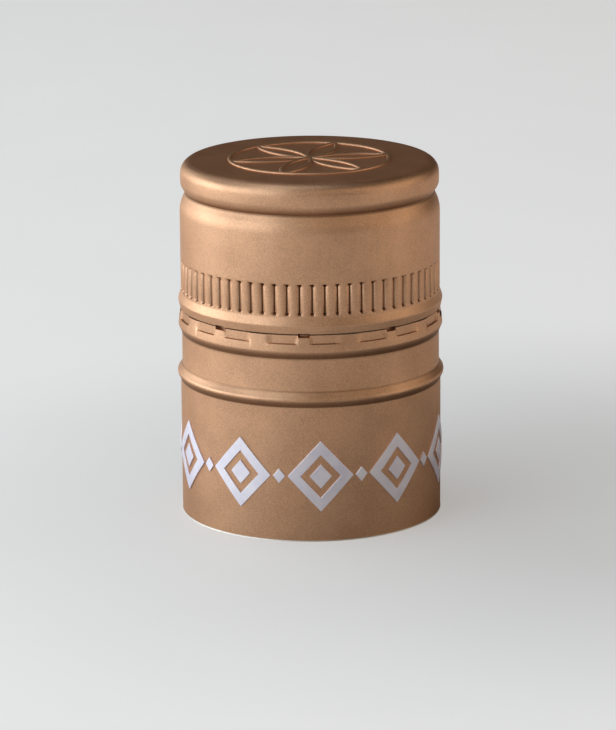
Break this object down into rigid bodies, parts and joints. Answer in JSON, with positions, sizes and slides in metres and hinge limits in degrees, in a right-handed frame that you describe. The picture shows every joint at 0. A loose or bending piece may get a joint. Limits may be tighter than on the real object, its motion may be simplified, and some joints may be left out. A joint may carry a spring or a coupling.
{
  "type": "bottle cap",
  "caption": "Tall roll-on bottle cap with a long skirt: knurled upper body, tamper band held by small bridges, beads and a sealing liner.",
  "frame": {"origin": "centre of the rim, in the plane that the cap stands on", "axes": "+Z along the cap's axis from the mouth to the top; -Y is the side that faces the picture's camera"},
  "size_m": [0.0284, 0.0284, 0.038],
  "materials": {
    "lacquered_sheet": "satin champagne-gold lacquer",
    "liner_foam": "matte"
  },
  "bodies": {
    "root": {"shell": "lacquered_sheet", "liner": "liner_foam"}
  },
  "joints": []
}
